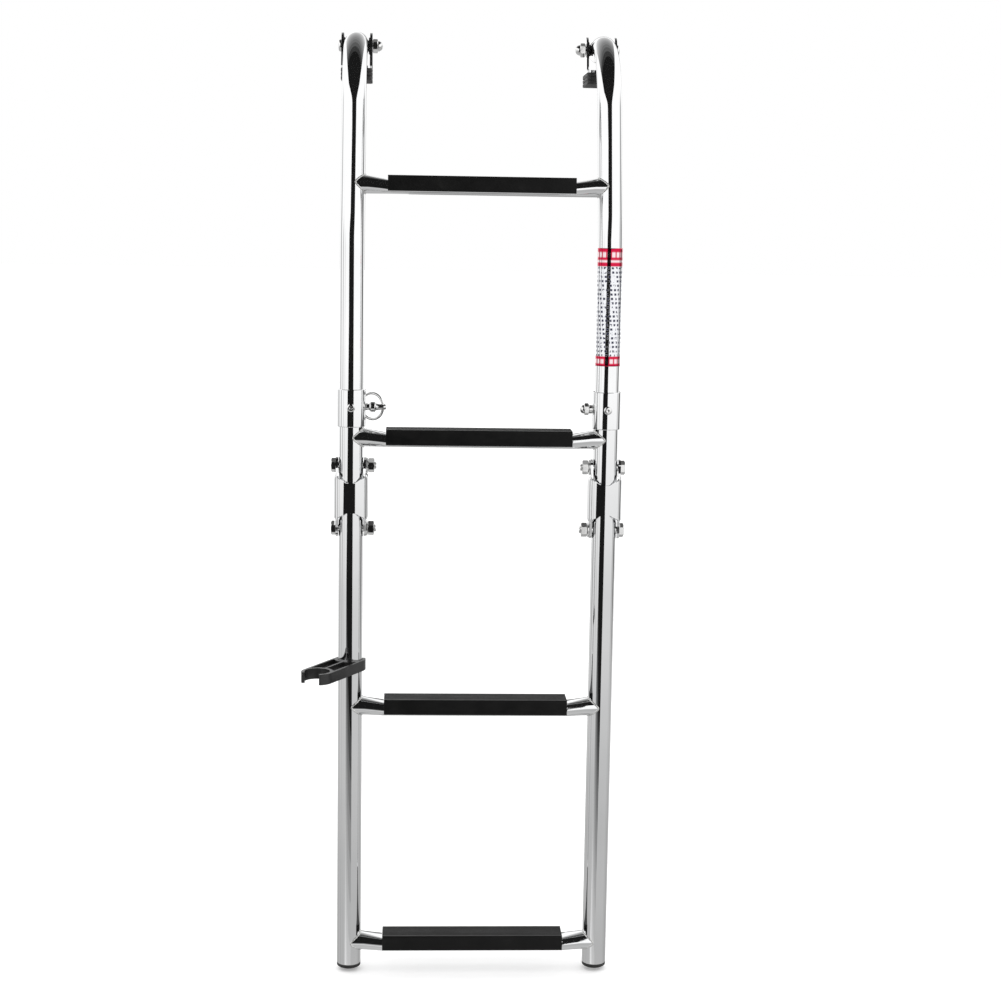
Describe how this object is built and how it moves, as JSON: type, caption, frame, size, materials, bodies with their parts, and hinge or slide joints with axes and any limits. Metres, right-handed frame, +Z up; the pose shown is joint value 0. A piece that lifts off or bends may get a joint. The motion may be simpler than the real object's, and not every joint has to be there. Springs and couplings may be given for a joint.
{
  "type": "boat boarding ladder",
  "caption": "Folding boat boarding ladder: bent polished steel side tubes on deck brackets, ribbed rubber treads, a folding lower section on channel hinges, a ring pin and a rail clip.",
  "frame": {"origin": "on the deck surface, midway between the two deck brackets and under the line of their pivot bolts", "axes": "+Z up along the hanging ladder, +X to the right seen from outboard, -Y outboard, away from the boat"},
  "size_m": [0.3347, 0.2566, 0.9983],
  "materials": {
    "polished_steel": "mirror-polished stainless tube and plate",
    "steel_hardware": "bright machined stainless fasteners",
    "tread_rubber": "satin black ribbed rubber",
    "pad_rubber": "matt black moulded rubber",
    "black_plastic": "satin black moulded plastic",
    "nylon": "black nylon",
    "label_film": "clear gloss film with plain printed bands"
  },
  "bodies": {
    "deck_brackets": {"left_deck_bracket": "polished_steel", "left_deck_pad": "pad_rubber", "left_pivot_bolt": "steel_hardware", "left_pivot_nut": "steel_hardware", "right_deck_bracket": "polished_steel", "right_deck_pad": "pad_rubber", "right_pivot_bolt": "steel_hardware", "right_pivot_nut": "steel_hardware"},
    "upper_section": {"blank_label": "label_film", "left_collar": "polished_steel", "left_collar_screw": "steel_hardware", "left_inner_pivot_bush": "nylon", "left_mid_rail": "polished_steel", "left_mid_rail_plug": "black_plastic", "left_outer_pivot_bush": "nylon", "left_rail_rear_plug": "black_plastic", "left_top_rail": "polished_steel", "right_collar": "polished_steel", "right_collar_screw": "steel_hardware", "right_inner_pivot_bush": "nylon", "right_lock_bolt": "steel_hardware", "right_lock_nut": "steel_hardware", "right_mid_rail": "polished_steel", "right_mid_rail_plug": "black_plastic", "right_outer_pivot_bush": "nylon", "right_rail_rear_plug": "black_plastic", "right_top_rail": "polished_steel", "rung_1": "polished_steel", "rung_2": "polished_steel", "tread_1": "tread_rubber", "tread_2": "tread_rubber"},
    "hinge_links": {"left_hinge_channel": "polished_steel", "left_lower_hinge_bolt": "steel_hardware", "left_lower_hinge_nut": "steel_hardware", "left_lower_hinge_washer": "steel_hardware", "left_upper_hinge_bolt": "steel_hardware", "left_upper_hinge_nut": "steel_hardware", "left_upper_hinge_washer": "steel_hardware", "right_hinge_channel": "polished_steel", "right_lower_hinge_bolt": "steel_hardware", "right_lower_hinge_nut": "steel_hardware", "right_lower_hinge_washer": "steel_hardware", "right_upper_hinge_bolt": "steel_hardware", "right_upper_hinge_nut": "steel_hardware", "right_upper_hinge_washer": "steel_hardware"},
    "lower_section": {"left_foot_cap": "pad_rubber", "left_lower_rail": "polished_steel", "left_lower_rail_plug": "black_plastic", "right_foot_cap": "pad_rubber", "right_lower_rail": "polished_steel", "right_lower_rail_plug": "black_plastic", "rung_3": "polished_steel", "rung_4": "polished_steel", "tread_3": "tread_rubber", "tread_4": "tread_rubber"},
    "rail_clip": {"rail_clip": "black_plastic"},
    "ring_pin": {"left_ring_pin": "steel_hardware"},
    "pull_ring": {"pull_ring": "steel_hardware"}
  },
  "joints": [
    {"name": "deck_swing", "type": "hinge", "parent": "deck_brackets", "child": "upper_section", "pos_m": [0, 0, 0.038], "axis": [-1, 0, 0], "range_deg": [0, 180]},
    {"name": "link_fold", "type": "hinge", "parent": "upper_section", "child": "hinge_links", "pos_m": [0, -0.15, -0.401], "axis": [-1, 0, 0], "range_deg": [0, 90]},
    {"name": "lower_fold", "type": "hinge", "parent": "hinge_links", "child": "lower_section", "pos_m": [0, -0.15, -0.467], "axis": [-1, 0, 0], "range_deg": [0, 90]},
    {"name": "clip_swivel", "type": "hinge", "parent": "lower_section", "child": "rail_clip", "pos_m": [-0.1325, -0.15, -0.6123], "axis": [0, 0, 1], "range_deg": [-90, 29]},
    {"name": "pin_pull", "type": "slide", "parent": "upper_section", "child": "ring_pin", "axis": [1, 0, 0], "range_m": [0, 0.032]},
    {"name": "ring_flip", "type": "hinge", "parent": "ring_pin", "child": "pull_ring", "pos_m": [-0.0999, -0.15, -0.34], "axis": [0, 0, -1], "range_deg": [0, 290]}
  ]
}
